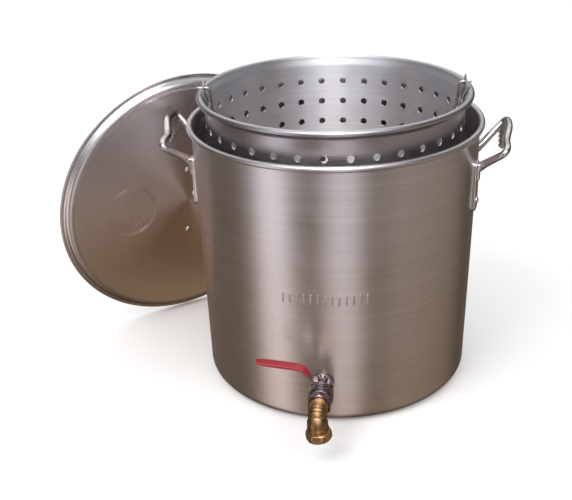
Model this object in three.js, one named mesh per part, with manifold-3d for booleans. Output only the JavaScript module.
// Brew kettle: spun pot with a ball-valve tap, perforated lift-out basket with a swinging bail,
// and a leaning lid.
// Millimetres, +Z up, origin at the centre of the pot's underside, tap pointing along -Y.
// Azimuths are degrees from -Y turning towards +X. A name ending in R is a radius or a distance
// from the kettle's axis.
import * as THREE from "three";
import { mergeGeometries, mergeVertices } from "three/addons/utils/BufferGeometryUtils.js";
import Module from "manifold-3d";

const wasm = await Module();
wasm.setup();

// ---- driving dimensions ----
const SEGMENTS = 48;
const POT = {
  beadR: 222.0, // centre of the rolled rim
  beadZ: 410.4,
  bead: 4.6,
  topR: 219.8, // outside of the wall under the rim
  footR: 209.3, // outside of the wall above the bottom corner
  corner: 15,
  wall: 2.5,
  floor: 3.0,
};
// Upright ribs across the front of the pot.
const RIBS = {
  az: 1.1,
  eachSide: 6, // ribs on each side of the middle one
  pitch: 2.75, // degrees
  halfWidth: 1.7,
  bottomZ: 200.5,
  topZ: 217.5,
  sunk: 1.6,
  proud: 1.0,
};
const HANDLE = {
  footAz: 11.6, // each foot, either side of the handle's middle
  footProud: 3.4,
  legZ: 353,
  rise: 34,
  reach: 37,
  span: 70,
  rivetZ: [300, 340],
};
// rear: the local x direction that leads to +Y; spread: how much further the rear corner reaches
const HANDLES = [
  { side: "right", az: 90, rear: 1, spread: 9 },
  { side: "left", az: 270, rear: -1, spread: 15 },
];
const TAP = {
  z: 70,
  ballR: 246,
  elbowR: 305,
  bend: 18,
  bandZ: 51.5, // underside of the elbow's band
  outletZ: 37,
  lean: 6.2, // degrees, stem towards +X
  elbowTurn: -5.9, // degrees, outlet towards +X
  potHole: 13.9,
  bore: 9.6,
  thread: 13.2,
  stem: 4.5,
  stemHole: 4.75,
  ball: 11.5,
  ballPocket: 11.75,
};
const GASKET = { outer: 20, inner: 13.75, gap: 0.15 };
const LEVER = { tip: 98, tipZ: 16.4, width: 13, thick: 3, rise: 24.5 };
const BASKET = {
  beadR: 204.3,
  beadZ: 453.5,
  bead: 4.6,
  shoulderZ: 444,
  topR: 196.6,
  footR: 192.4,
  baseZ: 3.4,
  corner: 12,
  wall: 1.8,
  columns: 34,
  phase: 1.1,
  rows: 12,
  rowTop: 415.3,
  rowStep: 35.0,
  hole: 9.4, // side of the square that stands for each round hole
  baseRings: [[7, 60], [14, 120]], // hole count, ring radius
};
const EAR = {
  az: 97.3,
  pivotZ: 463.5,
  pivotHole: 2.8,
  face: 191.6, // inner face of the flat part
  jog: 4.5,
  thick: 2.0,
  rivetX: [-6.5, 6.5],
  rivetZ: 434,
  rivetSeatR: 196.15,
};
const BAIL = { radius: 187, wire: 2.5, end: 206.5 };
const LID = {
  centre: [-276.861, 127.934, 224.6],
  normal: [0.603, -0.785, -0.1409], // from the flange towards the face that plugs into the pot
  radius: 226,
  panelR: 208,
  gauge: 2,
  shoulder: 14,
  crown: 15.5,
  ringX: 105, // distance of the small raised ring from the lid's centre
  ringTilt: -0.048, // radians
  handleHalf: 59,
  handleRise: 42,
};
// Radii of hole, shank and head; heights of the domed head and of the far-side tail.
const RIVETS = {
  handle: { hole: 3.35, shank: 3.0, head: 5.6, rise: 3.2, tail: 2.2 },
  ear: { hole: 2.55, shank: 2.3, head: 4.0, rise: 2.2, tail: 1.8 },
  lid: { hole: 3.35, shank: 3.0, head: 5.6, rise: 3.0, tail: 2.4 },
  lift: 0.15, // gap under the heads on the pot handles and the lid
};

// ---- materials: each mesh gets its own copy ----
const finish = (settings) => () => new THREE.MeshStandardMaterial(settings);
const brushed = finish({ color: 0xa89c92, roughness: 0.38, metalness: 1.0 });
const cast = finish({ color: 0xb4aca4, roughness: 0.28, metalness: 1.0 });
const rivetAlu = finish({ color: 0xc2bdb6, roughness: 0.25, metalness: 1.0 });
const nickel = finish({ color: 0x5e554f, roughness: 0.35, metalness: 1.0 });
const steel = finish({ color: 0x9c9a97, roughness: 0.3, metalness: 1.0 });
const brass = finish({ color: 0x8f6a3c, roughness: 0.35, metalness: 1.0 });
const vinyl = finish({ color: 0xa8202c, roughness: 0.45, metalness: 0.0 });
const rubber = finish({ color: 0x2a2a2a, roughness: 0.85, metalness: 0.0 });
const ptfe = finish({ color: 0xe8e6e0, roughness: 0.6, metalness: 0.0 });

// ---- placing ----
const RAD = Math.PI / 180;
const vec = (x, y, z) => new THREE.Vector3(x, y, z);
const X_AXIS = vec(1, 0, 0);
const Y_AXIS = vec(0, 1, 0);
const Z_AXIS = vec(0, 0, 1);
const shift = (x, y, z) => new THREE.Matrix4().makeTranslation(x, y, z);
const turnY = (radians) => new THREE.Matrix4().makeRotationY(radians);
const basis = (x, y, z) => new THREE.Matrix4().makeBasis(x, y, z);
const chain = (...matrices) =>
  matrices.reduce((product, next) => product.multiply(next), new THREE.Matrix4());
const moved = (geometry, matrix) => geometry.clone().applyMatrix4(matrix);

// Frame on the wall: local x runs along the wall, y up, z outwards, at a radius of zero.
function facing(az) {
  const along = vec(Math.cos(az * RAD), Math.sin(az * RAD), 0);
  const out = vec(Math.sin(az * RAD), -Math.cos(az * RAD), 0);
  return basis(along, Z_AXIS, out);
}
const onWall = (az, x, y, z) => facing(az).multiply(shift(x, y, z));

// ---- outlines ----
function arc(centreX, centreY, radius, from, to, steps) {
  return Array.from({ length: steps + 1 }, (_, i) => {
    const angle = (from + ((to - from) * i) / steps) * RAD;
    return [centreX + radius * Math.cos(angle), centreY + radius * Math.sin(angle)];
  });
}
const circle = (radius, count, turn = 0) =>
  Array.from({ length: count }, (_, i) => {
    const angle = (turn + (360 * i) / count) * RAD;
    return [radius * Math.cos(angle), radius * Math.sin(angle)];
  });
const hexagon = (acrossFlats, turn = 30) => circle(acrossFlats / Math.sqrt(3), 6, turn);
const rectangle = (x0, x1, y0, y1) => [[x0, y0], [x1, y0], [x1, y1], [x0, y1]];
// Rectangle with cut corners; flatX and flatY are the shares of each side left straight.
const octagon = (x, y, flatX, flatY) => [
  [-x, -y * flatY], [-x * flatX, -y], [x * flatX, -y], [x, -y * flatY],
  [x, y * flatY], [x * flatX, y], [-x * flatX, y], [-x, y * flatY],
];
// Rows for the +x half of an arch, preceded by their mirror image.
const mirrored = (rows) => [
  ...rows.map(([x, ...rest]) => [-x, ...rest]),
  ...[...rows].reverse(),
];

// ---- solids ----
// Indexed geometry with its faces turned outwards.
function bufferOf(vertices, faces) {
  let volume = 0;
  for (const [a, b, c] of faces) {
    const [p, q, r] = [vertices[a], vertices[b], vertices[c]];
    volume +=
      p[0] * (q[1] * r[2] - q[2] * r[1]) +
      p[1] * (q[2] * r[0] - q[0] * r[2]) +
      p[2] * (q[0] * r[1] - q[1] * r[0]);
  }
  const turned = volume < 0 ? faces.map(([a, b, c]) => [a, c, b]) : faces;
  const geometry = new THREE.BufferGeometry();
  geometry.setAttribute("position", new THREE.Float32BufferAttribute(vertices.flat(), 3));
  geometry.setIndex(turned.flat());
  return geometry;
}

// A closed profile of [radius, height] pairs turned about Z.
function revolve(profile, segments = SEGMENTS, start = 0) {
  const vertices = [];
  const faces = [];
  const rings = profile.map(([radius, z]) => {
    const first = vertices.length;
    if (radius < 1e-9) {
      vertices.push([0, 0, z]);
      return [first];
    }
    vertices.push(...circle(radius, segments, start).map(([x, y]) => [x, y, z]));
    return Array.from({ length: segments }, (_, i) => first + i);
  });
  rings.forEach((a, k) => {
    const b = rings[(k + 1) % rings.length];
    if (a.length === 1 && b.length === 1) return;
    for (let i = 0; i < segments; i++) {
      const j = (i + 1) % segments;
      if (a.length === 1) faces.push([a[0], b[i], b[j]]);
      else if (b.length === 1) faces.push([a[i], b[0], a[j]]);
      else faces.push([a[i], b[i], b[j]], [a[i], b[j], a[j]]);
    }
  });
  return bufferOf(vertices, faces);
}

// Closed sections of equal length joined in order, capped at both ends.
function loft(sections) {
  const count = sections[0].length;
  const vertices = sections.flat().map((p) => [p.x, p.y, p.z]);
  const faces = [];
  for (let k = 0; k + 1 < sections.length; k++)
    for (let i = 0; i < count; i++) {
      const j = (i + 1) % count;
      const a = k * count;
      const b = a + count;
      faces.push([a + i, b + i, b + j], [a + i, b + j, a + j]);
    }
  const last = (sections.length - 1) * count;
  for (let i = 1; i + 1 < count; i++)
    faces.push([0, i, i + 1], [last, last + i + 1, last + i]);
  return bufferOf(vertices, faces);
}

// A plane path swept with a section given as [across, along the plane's normal] pairs.
function sweep(path, normal, sectionAt) {
  return loft(
    path.map((point, i) => {
      const before = point.clone().sub(path[Math.max(0, i - 1)]);
      const after = path[Math.min(path.length - 1, i + 1)].clone().sub(point);
      if (before.lengthSq() > 0) before.normalize();
      if (after.lengthSq() > 0) after.normalize();
      const tangent = before.clone().add(after).normalize();
      const across = normal.clone().cross(tangent).normalize();
      const bend = before.lengthSq() && after.lengthSq() ? before.dot(after) : 1;
      const mitre = 1 / Math.sqrt(Math.max(0.3, (1 + bend) / 2));
      return sectionAt(i).map(([x, y]) =>
        point.clone().addScaledVector(across, x * mitre).addScaledVector(normal, y),
      );
    }),
  );
}
const sweepXZ = (line, sectionAt) =>
  sweep(line.map(([x, z]) => vec(x, 0, z)), Y_AXIS, sectionAt);
const sweepYZ = (line, sectionAt) =>
  sweep(line.map(([y, z]) => vec(0, y, z)), X_AXIS, sectionAt);

function prism(outline, z0, z1) {
  const asVectors = (pairs) => pairs.map(([x, y]) => new THREE.Vector2(x, y));
  const clockwise = THREE.ShapeUtils.area(asVectors(outline)) <= 0;
  const points = clockwise ? [...outline].reverse() : outline;
  const count = points.length;
  const vertices = [z0, z1].flatMap((z) => points.map(([x, y]) => [x, y, z]));
  const faces = [];
  for (const [a, b, c] of THREE.ShapeUtils.triangulateShape(asVectors(points), []))
    faces.push([a, c, b], [a + count, b + count, c + count]);
  for (let i = 0; i < count; i++) {
    const j = (i + 1) % count;
    faces.push([i, j, j + count], [i, j + count, i + count]);
  }
  return bufferOf(vertices, faces);
}
const box = (x0, x1, y0, y1, z0, z1) => prism(rectangle(x0, x1, y0, y1), z0, z1);
const rod = (radius, z0, z1, count = 16) => prism(circle(radius, count), z0, z1);
const tube = (outer, inner, z0, z1) =>
  revolve([[inner, z0], [outer, z0], [outer, z1], [inner, z1]], 16);
const sphere = (radius) => revolve(arc(0, 0, radius, -90, 90, 8), 16);

function solid(geometry) {
  const welded = mergeVertices(geometry, 1e-4);
  return new wasm.Manifold(
    new wasm.Mesh({
      numProp: 3,
      vertProperties: new Float32Array(welded.attributes.position.array),
      triVerts: new Uint32Array(welded.index.array),
    }),
  );
}
function geometryOf(manifold) {
  const mesh = manifold.getMesh();
  const points = new Float32Array(mesh.vertProperties);
  const geometry = new THREE.BufferGeometry();
  geometry.setAttribute("position", new THREE.BufferAttribute(points, 3));
  geometry.setIndex(new THREE.BufferAttribute(new Uint32Array(mesh.triVerts), 1));
  return geometry;
}
// All the parts joined, less all the holes.
function build([first, ...others], holes) {
  const joined = others.reduce((sum, part) => sum.add(solid(part)), solid(first));
  return geometryOf(holes.reduce((rest, hole) => rest.subtract(solid(hole)), joined));
}
const cut = (first, ...holes) => build([first], holes);
const fuse = (...parts) => build(parts, []);
const common = (a, b) => geometryOf(solid(a).intersect(solid(b)));

const brewKettle = new THREE.Group();
brewKettle.name = "brew_kettle";
function put(name, geometry, material, matrix = new THREE.Matrix4()) {
  const flat = moved(geometry, matrix).toNonIndexed();
  flat.computeVertexNormals();
  const mesh = new THREE.Mesh(mergeVertices(flat, 1e-4), material());
  mesh.name = name;
  brewKettle.add(mesh);
}

// Rivet along z with its domed head seated at z = 0 and the shank running down.
const rivet = ({ shank, head, rise, tail }, length) =>
  revolve(
    [
      [0, -length - tail], [head * 0.8, -length - tail], [head, -length], [shank, -length],
      [shank, 0], [head, 0], [head * 0.72, rise * 0.8], [0, rise],
    ],
    8,
  );
const rivetHole = ({ hole }, z0, z1) => rod(hole, z0, z1, 8);

// ---- pot ----
const wallTopZ = POT.beadZ - 4;
const innerTopZ = POT.beadZ - 6;
const potOuterAt = (z) =>
  POT.footR + ((z - POT.corner) * (POT.topR - POT.footR)) / (wallTopZ - POT.corner);
const potInnerAt = (z) => potOuterAt(z) - POT.wall;

// A filled cone between two heights, its radius following the wall.
const wallCone = (radiusAt, z0, z1) =>
  revolve([[0, z0], [radiusAt(z0), z0], [radiusAt(z1), z1], [0, z1]]);
// The outside skin grown by a gap, and the hollow shrunk by one, for trimming what rests on them.
const potSkin = (gap) => wallCone((z) => potOuterAt(z) + gap, -20, wallTopZ);
const potHollow = (gap) => wallCone((z) => potInnerAt(z) - gap, 10, innerTopZ);

function potShell() {
  const cornerR = POT.footR - POT.corner;
  const profile = [
    [0, 0],
    ...arc(cornerR, POT.corner, POT.corner, -90, 0, 3),
    ...arc(POT.beadR, POT.beadZ, POT.bead, -118, 180, 6),
    [potInnerAt(innerTopZ), innerTopZ],
    ...arc(cornerR, POT.corner + 0.5, POT.corner - POT.wall, 0, -90, 2),
    [0, POT.floor],
  ];
  const ribR = potOuterAt((RIBS.bottomZ + RIBS.topZ) / 2);
  const rib = box(
    -RIBS.halfWidth, RIBS.halfWidth,
    RIBS.bottomZ, RIBS.topZ,
    ribR - RIBS.sunk, ribR + RIBS.proud,
  );
  const ribs = [];
  for (let i = -RIBS.eachSide; i <= RIBS.eachSide; i++)
    ribs.push(moved(rib, facing(RIBS.az + i * RIBS.pitch)));
  const holes = [moved(rod(TAP.potHole, 195, 225), onWall(0, 0, TAP.z, 0))];
  for (const { az } of HANDLES)
    for (const s of [-1, 1])
      for (const z of HANDLE.rivetZ) {
        const place = onWall(az + s * HANDLE.footAz, 0, z, 0);
        holes.push(moved(rivetHole(RIVETS.handle, 200, 235), place));
      }
  return build([revolve(profile), ...ribs], holes);
}
put("pot_shell", potShell(), brushed);

// ---- pot handles: a sloping loop on two riveted feet, drawn in the wall frame ----
const legR = potOuterAt(HANDLE.legZ);
const FOOT_OUTLINE = [ // along the wall, height
  [-11.5, 289], [-8, 285], [8, 285], [11.5, 289],
  [11.5, 356], [8, 363], [-8, 363], [-11.5, 356],
];

function potHandle({ rear, spread }) {
  const tilt = Math.atan2(HANDLE.rise, HANDLE.reach);
  const length = Math.hypot(HANDLE.rise, HANDLE.reach);
  // The loop's own frame: x along the wall, y up its slope.
  const place = basis(
    X_AXIS,
    vec(0, Math.sin(tilt), Math.cos(tilt)),
    vec(0, -Math.cos(tilt), Math.sin(tilt)),
  ).setPosition(0, HANDLE.legZ, legR + 1.5);

  // x, distance up the slope, half width and half thickness of the bar
  const stations = mirrored([
    [43.5, -2, 7.5, 7],
    [47, 9, 6.6, 6.2],
    [55, 22, 6, 5.5],
    [63, 33, 6, 5.5],
    [HANDLE.span - 1, length - 8, 6, 5.5],
    [HANDLE.span - 5, length - 2, 6, 5.2],
    [HANDLE.span - 14, length, 6, 5],
    [30, length + 1, 6, 5],
  ]);
  const loop = stations.map(([x, y]) => {
    const stretch = Math.sign(x) === rear ? 1 + spread / length : 1;
    return vec(x, y * stretch, 0).applyMatrix4(place);
  });
  const normal = vec(0, Math.cos(tilt), -Math.sin(tilt));
  const bar = sweep(loop, normal, (i) => octagon(stations[i][2], stations[i][3], 0.5, 0.45));

  // Web along the inside of the grip, scalloped along its free edge; x counts towards the rear.
  const inset = (x, depth) => [rear * x, length + spread * (0.5 + x / 120) - depth];
  const steps = 12;
  const edge = Array.from({ length: steps + 1 }, (_, i) =>
    inset(-34 + (90 * i) / steps, 15.5 - 2.6 * Math.abs(Math.cos(((i * 4) / steps) * Math.PI))),
  );
  const web = prism([...edge, inset(58, 2), inset(-38, 0)], -3.6, 3.6);

  const foot = prism(FOOT_OUTLINE, legR - 12, legR + HANDLE.footProud);
  const hole = rivetHole(RIVETS.handle, legR - 20, legR + 12);
  const turns = [-1, 1].map((s) => turnY(s * HANDLE.footAz * RAD));
  return build(
    [bar, moved(web, place), ...turns.map((turn) => moved(foot, turn))],
    turns.flatMap((turn) =>
      HANDLE.rivetZ.map((z) => moved(hole, chain(turn, shift(0, z, 0)))),
    ),
  );
}
for (const handle of HANDLES) {
  const placed = moved(potHandle(handle), facing(handle.az));
  put(`handle_${handle.side}`, cut(placed, potSkin(0.3)), cast);
}
const handleSeatR = legR + HANDLE.footProud + RIVETS.lift;
for (const { side, az } of HANDLES)
  [-1, 1].forEach((s, i) =>
    HANDLE.rivetZ.forEach((z, k) =>
      put(
        `handle_${side}_rivet_${i * 2 + k + 1}`,
        rivet(RIVETS.handle, handleSeatR - (potInnerAt(z) - 0.95)),
        rivetAlu,
        onWall(az + s * HANDLE.footAz, 0, z, handleSeatR),
      ),
    ),
  );

// ---- tap: local z runs outwards along the pipe ----
const pipe = onWall(0, 0, TAP.z, 0); // measured from the kettle's axis
const ballPlace = onWall(0, 0, TAP.z, TAP.ballR); // measured from the ball's centre
// From the ball's centre, z up the stem, which leans a little towards +X.
const upright = chain(shift(0, -TAP.ballR, TAP.z), turnY(TAP.lean * RAD));
const wallOut = potOuterAt(TAP.z);
const wallIn = potInnerAt(TAP.z);
const nutFace = wallIn - 5.3;
const gasket = (z0, z1) => moved(tube(GASKET.outer, GASKET.inner, z0, z1), pipe);

put("inner_gasket", common(gasket(wallIn - 5, wallIn + 3), potHollow(GASKET.gap)), rubber);
put(
  "inner_locknut",
  cut(prism(hexagon(36), nutFace - 7, nutFace), rod(13.5, 180, 220)),
  brass,
  pipe,
);
put(
  "bulkhead_nipple",
  cut(rod(13.3, nutFace - 10, TAP.ballR - 14.3), rod(10.2, 180, 250)),
  brass,
  pipe,
);
put("outer_gasket", cut(gasket(wallOut - 3, wallOut + 4), potSkin(GASKET.gap)), rubber);
put("outer_washer", tube(21, 13.6, wallOut + 4.2, wallOut + 6.0), steel, pipe);

function valveBody() {
  const barrel = revolve(
    [[0, -14], [15.5, -14], [18.4, -6], [18.4, 8], [16.6, 15], [0, 15]],
    20,
  );
  const outer = fuse(prism(hexagon(33), -26, -12), barrel);
  const boss = rod(10, 8, 20, 20);
  const bores = [rod(13.5, -30, -14), rod(TAP.bore, -16, -10), rod(13.1, -12.1, 20)];
  const stemBores = [rod(TAP.stemHole, 5, 30), rod(7.2, 14.5, 30)];
  return build(
    [moved(outer, ballPlace), moved(boss, upright)],
    [
      ...bores.map((bore) => moved(bore, ballPlace)),
      ...stemBores.map((bore) => moved(bore, upright)),
    ],
  );
}
put("valve_body", valveBody(), nickel);
put(
  "valve_end_cap",
  cut(
    fuse(rod(12.9, 12.2, 18), prism(hexagon(32), 15.2, 27.5)),
    rod(TAP.bore, 0, 30),
    rod(13.55, 17, 30),
  ),
  nickel,
  ballPlace,
);
for (const [name, z0, z1] of [["seat_inlet", -12, -7], ["seat_outlet", 7, 12]])
  put(name, cut(tube(12.9, 8.6, z0, z1), sphere(TAP.ballPocket)), ptfe, ballPlace);
// The ball's bore runs across the pipe: the valve is shut.
put(
  "valve_ball",
  cut(
    sphere(TAP.ball),
    moved(rod(8, -20, 20), turnY(90 * RAD)),
    box(-3.6, 3.6, -2.4, 2.4, 9.4, 20),
  ),
  steel,
  upright,
);
put(
  "valve_stem",
  fuse(box(-3.3, 3.3, -2.1, 2.1, 9.6, 13), rod(TAP.stem, 12, 37)),
  steel,
  upright,
);
put("stem_packing", tube(7.0, TAP.stemHole, 14.7, 17.8), ptfe, upright);
put(
  "gland_nut",
  cut(fuse(rod(7.0, 18.0, 21), prism(hexagon(17), 20.2, 24.2)), rod(TAP.stemHole, 0, 40)),
  nickel,
  upright,
);

// Lever: flat plate cranked upwards, with a sleeve over its outer run. Lines are [x, z] pairs.
const CRANK_FOOT = [-16.5, 1.6];
const CRANK_TOP = [[-28.6, 14.3], [-34.5, 16.8]];
const SLEEVE_MIDDLE = [-60, 16.65];
const SLEEVE = [ // x, z, half width, half thickness
  [-22.2, 7.6, 7.8, 2.9],
  [...CRANK_TOP[0], 8.2, 3.2],
  [...CRANK_TOP[1], 8.2, 3.3],
  [...SLEEVE_MIDDLE, 8.4, 3.4],
  [-LEVER.tip - 1.2, LEVER.tipZ, 7.4, 2.7],
];
const leverPlace = chain(upright, shift(0, 0, LEVER.rise + LEVER.thick / 2));

function leverBar(line, gap) {
  const across = LEVER.thick / 2 + gap;
  const side = LEVER.width / 2 + gap;
  return sweepXZ(line, () => rectangle(-across, across, -side, side));
}
function lever() {
  const tip = [-LEVER.tip + 1.6, LEVER.tipZ];
  const plate = leverBar([[10, 0], [-12.5, 0], CRANK_FOOT, ...CRANK_TOP, tip], 0);
  const hub = rod(9, -LEVER.thick / 2, LEVER.thick / 2);
  return cut(fuse(plate, hub), rod(TAP.stemHole, -20, 20));
}
function leverSleeve() {
  const outer = sweepXZ(SLEEVE, (i) => octagon(SLEEVE[i][3], SLEEVE[i][2], 0.4, 0.55));
  const tip = [-LEVER.tip + 1.3, LEVER.tipZ];
  return cut(outer, leverBar([CRANK_FOOT, ...CRANK_TOP, SLEEVE_MIDDLE, tip], 0.25));
}
put("lever", lever(), steel, leverPlace);
put("lever_sleeve", leverSleeve(), vinyl, leverPlace);
put(
  "lever_nut",
  cut(prism(hexagon(13, 0), 27.8, 33.8), rod(TAP.stemHole, 0, 60)),
  steel,
  upright,
);

// Elbow and outlet, drawn plumb and then turned a few degrees about the pipe.
const elbowTurn = chain(
  shift(0, 0, TAP.z),
  turnY(TAP.elbowTurn * RAD),
  shift(0, 0, -TAP.z),
);
const belowElbow = (z) => shift(0, -TAP.elbowR, z);

// Bent pipe, swept with y outwards and z up from the pipe's axis, then mirrored to point along -Y.
function bentPipe(from, to, radiusAt) {
  const path = [
    [from, 0],
    ...arc(TAP.elbowR - TAP.bend, -TAP.bend, TAP.bend, 90, 0, 5),
    [TAP.elbowR, to],
  ];
  const mirror = basis(X_AXIS, vec(0, -1, 0), Z_AXIS).setPosition(0, 0, TAP.z);
  const bent = moved(sweepYZ(path, (i) => circle(radiusAt(i), 16, 11.25)), mirror);
  // Mirroring turns the faces inwards, so each one is turned back.
  const index = bent.index.array;
  for (let i = 0; i < index.length; i += 3)
    [index[i + 1], index[i + 2]] = [index[i + 2], index[i + 1]];
  return bent;
}
function drainElbow() {
  const threadStart = TAP.ballR + 17.3;
  const outer = bentPipe(threadStart, -18.4, (i) => (i === 0 ? TAP.thread : 14.0));
  const bore = bentPipe(TAP.ballR + 10, -40, () => TAP.bore);
  const thread = rod(TAP.thread, threadStart, TAP.ballR + 41);
  const threadTrim = tube(30, TAP.thread + 0.01, TAP.ballR + 10, TAP.ballR + 36);
  const band = belowElbow(TAP.bandZ);
  return cut(
    fuse(
      cut(outer, moved(threadTrim, pipe), moved(rod(40, -30, 0), band)),
      moved(thread, pipe),
      moved(rod(15.6, 0, 11), band),
    ),
    bore,
    moved(rod(TAP.bore, TAP.ballR + 5, TAP.ballR + 42), pipe),
    moved(rod(11.8, -10, 6.6), band),
  );
}
function outletCoupling() {
  const chamfers = revolve(
    [[0, 0], [15.2, 0], [18.9, 3.6], [18.9, 11.2], [16.4, 14.2], [0, 14.2]],
    16,
  );
  const nut = common(prism(hexagon(32.5, 0), 0, 14.2), chamfers);
  return cut(fuse(nut, rod(11.3, 10, 20.4)), rod(TAP.bore, -10, 30));
}
put("drain_elbow", drainElbow(), brass, elbowTurn);
put("outlet_coupling", outletCoupling(), brass, chain(elbowTurn, belowElbow(TAP.outletZ)));

// ---- basket ----
const EARS = [
  { side: "right", az: EAR.az },
  { side: "left", az: EAR.az - 180 },
];

// Every square hole of the wall and the base, as one geometry.
function basketDrills() {
  const half = BASKET.hole / 2;
  const drill = (z0, z1, place) => moved(box(-half, half, -half, half, z0, z1), place);
  const drills = [];
  for (let column = 0; column < BASKET.columns; column++)
    for (let row = 0; row < BASKET.rows; row++) {
      const az = BASKET.phase + (360 * column) / BASKET.columns;
      const z = BASKET.rowTop - row * BASKET.rowStep;
      drills.push(drill(180, 205, onWall(az, 0, z, 0)));
    }
  for (const [count, radius] of BASKET.baseRings)
    for (const [x, y] of circle(radius, count)) drills.push(drill(-10, 20, shift(x, y, 0)));
  return mergeGeometries(drills);
}

function basketShell() {
  const { corner, wall } = BASKET;
  const cornerR = BASKET.footR - corner;
  const cornerZ = BASKET.baseZ + corner;
  const profile = [
    [0, BASKET.baseZ],
    ...arc(cornerR, cornerZ, corner, -90, 0, 2),
    [BASKET.topR, BASKET.shoulderZ],
    [BASKET.beadR - 2.9, BASKET.beadZ - 3.6],
    ...arc(BASKET.beadR, BASKET.beadZ, BASKET.bead, -110, 180, 5),
    [BASKET.topR - wall, BASKET.shoulderZ + 0.8],
    ...arc(cornerR, cornerZ, corner - wall, 0, -90, 2),
    [0, BASKET.baseZ + wall],
  ];
  // Half a facet of turn puts each column of holes in the middle of a flat.
  const start = -90 + 180 / BASKET.columns + BASKET.phase;
  const rivetHoles = EARS.flatMap(({ az }) =>
    EAR.rivetX.map((x) =>
      moved(rivetHole(RIVETS.ear, 185, 205), onWall(az, x, EAR.rivetZ, 0)),
    ),
  );
  return cut(revolve(profile, BASKET.columns, start), basketDrills(), ...rivetHoles);
}
put("basket_shell", basketShell(), brushed);

const EAR_OUTLINE = [ // along the wall, height
  [-12, 428], [-9, 425.5], [9, 425.5], [12, 428], [12, 446], [8.5, 467],
  [5.5, 473.5], [0, 475.5], [-5.5, 473.5], [-8.5, 467], [-12, 446],
];

function ear() {
  const { face, thick } = EAR;
  const upperFace = face + EAR.jog;
  // Radius, height: flat against the wall, jogged outwards just under the rim.
  const sideOutline = [
    [face, 420], [face + thick, 420], [face + thick, 445.6], [upperFace + thick, 453.6],
    [upperFace + thick, 480], [upperFace, 480], [upperFace, 454.6], [face, 446.6],
  ];
  const side = moved(prism(sideOutline, -20, 20), basis(Z_AXIS, Y_AXIS, vec(-1, 0, 0)));
  return cut(
    common(prism(EAR_OUTLINE, 185, 205), side),
    ...EAR.rivetX.map((x) => moved(rivetHole(RIVETS.ear, 180, 200), shift(x, EAR.rivetZ, 0))),
    moved(rod(EAR.pivotHole, 180, 205, 12), shift(0, EAR.pivotZ, 0)),
  );
}
for (const { side, az } of EARS) {
  put(`ear_${side}`, ear(), steel, facing(az));
  EAR.rivetX.forEach((x, i) =>
    put(
      `ear_${side}_rivet_${i + 1}`,
      rivet(RIVETS.ear, EAR.rivetSeatR - (EAR.face - 0.1)),
      rivetAlu,
      onWall(az, x, EAR.rivetZ, EAR.rivetSeatR),
    ),
  );
}

// The bail hangs down inside the basket, its straight ends passing through the ears.
function bailWire() {
  const path = [
    [BAIL.end, 0], [191.8, 0], [188.6, -0.9],
    ...arc(0, 0, BAIL.radius, -2, -178, 20),
    [-188.6, -0.9], [-191.8, 0], [-BAIL.end, 0],
  ];
  return sweepXZ(path, () => circle(BAIL.wire, 8, 22.5));
}
put(
  "bail_wire",
  bailWire(),
  steel,
  chain(
    shift(0, 0, EAR.pivotZ),
    new THREE.Matrix4().makeRotationZ((EAR.az - 90) * RAD),
  ),
);

// ---- lid: local z points out of the plug face, local y is up the leaning disc ----
const lidNormal = vec(...LID.normal).normalize();
const lidAcross = Z_AXIS.clone().cross(lidNormal).normalize();
const lidUp = lidNormal.clone().cross(lidAcross);
const lidPlace = basis(lidAcross, lidUp, lidNormal).setPosition(...LID.centre);
const crownAt = (radius) =>
  LID.shoulder + (LID.crown - LID.shoulder) * (1 - (radius / LID.panelR) ** 2);
const lidRivetHoles = (z0) =>
  [-1, 1].map((s) => moved(rivetHole(RIVETS.lid, z0, 60), shift(0, s * LID.handleHalf, 0)));

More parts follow.
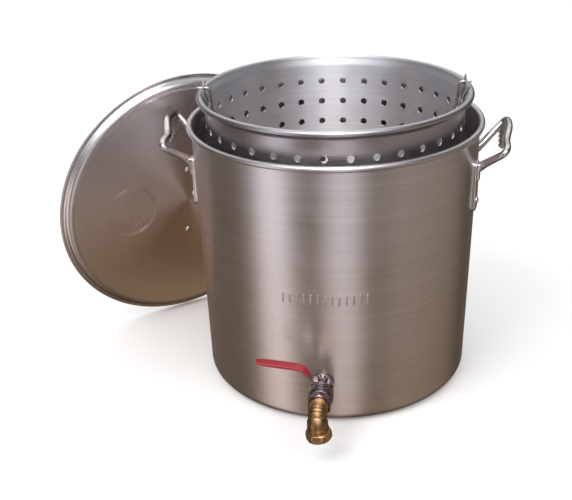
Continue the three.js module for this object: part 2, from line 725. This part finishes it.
function lidDisc() {
  const { shoulder, gauge } = LID;
  const profile = [
    [0, crownAt(0)],
    [135, crownAt(135)],
    [LID.panelR, shoulder],
    [214.5, shoulder - 2.4],
    [218.5, shoulder - 8],
    [220.4, 3],
    [225.0, 2.4],
    [LID.radius, 1.0],
    [225.0, -0.4],
    [219.0, -0.4],
    [216.6, shoulder - 8.4],
    [213.3, shoulder - 3.9],
    [207.5, shoulder - gauge],
    [135, crownAt(135) - gauge],
    [0, crownAt(0) - gauge],
  ];
  // Small raised ring on the plug face, tilted to follow the crown.
  const ringPlace = chain(
    shift(-LID.ringX, 0, crownAt(LID.ringX) - 0.25),
    turnY(LID.ringTilt),
  );
  const ring = revolve([[39, -1.4], [46, -1.4], [45, 1.1], [40, 1.1]], 24);
  return build([revolve(profile), moved(ring, ringPlace)], lidRivetHoles(-10));
}
put("lid_disc", lidDisc(), brushed, lidPlace);

// Handle and rivets sit on the outside face; local z is turned to point out of that face.
const outside = chain(lidPlace, turnY(Math.PI));
const seatZ = LID.gauge - crownAt(LID.handleHalf); // the panel's outside face in that frame
const lidFootTop = 4.6;

function lidHandle() {
  const { handleHalf, handleRise } = LID;
  // y, height above the panel
  const arch = mirrored([
    [handleHalf - 12.5, 3],
    [handleHalf - 12.5, 14],
    [handleHalf - 10, 27],
    [handleHalf - 14, 37],
    [handleHalf - 23, handleRise],
    [16, handleRise + 1],
  ]).map(([y, z]) => [y, z + seatZ]);
  const foot = (s) =>
    prism(
      [
        [-12, s * (handleHalf - 19)], [12, s * (handleHalf - 19)],
        [12, s * (handleHalf + 5)], [6, s * (handleHalf + 11)],
        [-6, s * (handleHalf + 11)], [-12, s * (handleHalf + 5)],
      ],
      seatZ + 0.3,
      seatZ + lidFootTop,
    );
  const bar = sweepYZ(arch, () => octagon(5, 8, 0.5, 0.5));
  return cut(fuse(bar, foot(-1), foot(1)), ...lidRivetHoles(-40));
}
put("lid_handle", lidHandle(), cast, outside);

const lidRivetSeat = lidFootTop + RIVETS.lift;
[-1, 1].forEach((s, i) =>
  put(
    `lid_rivet_${i + 1}`,
    rivet(RIVETS.lid, lidRivetSeat + LID.gauge + 0.25),
    rivetAlu,
    chain(outside, shift(0, s * LID.handleHalf, seatZ + lidRivetSeat)),
  ),
);

export default brewKettle;
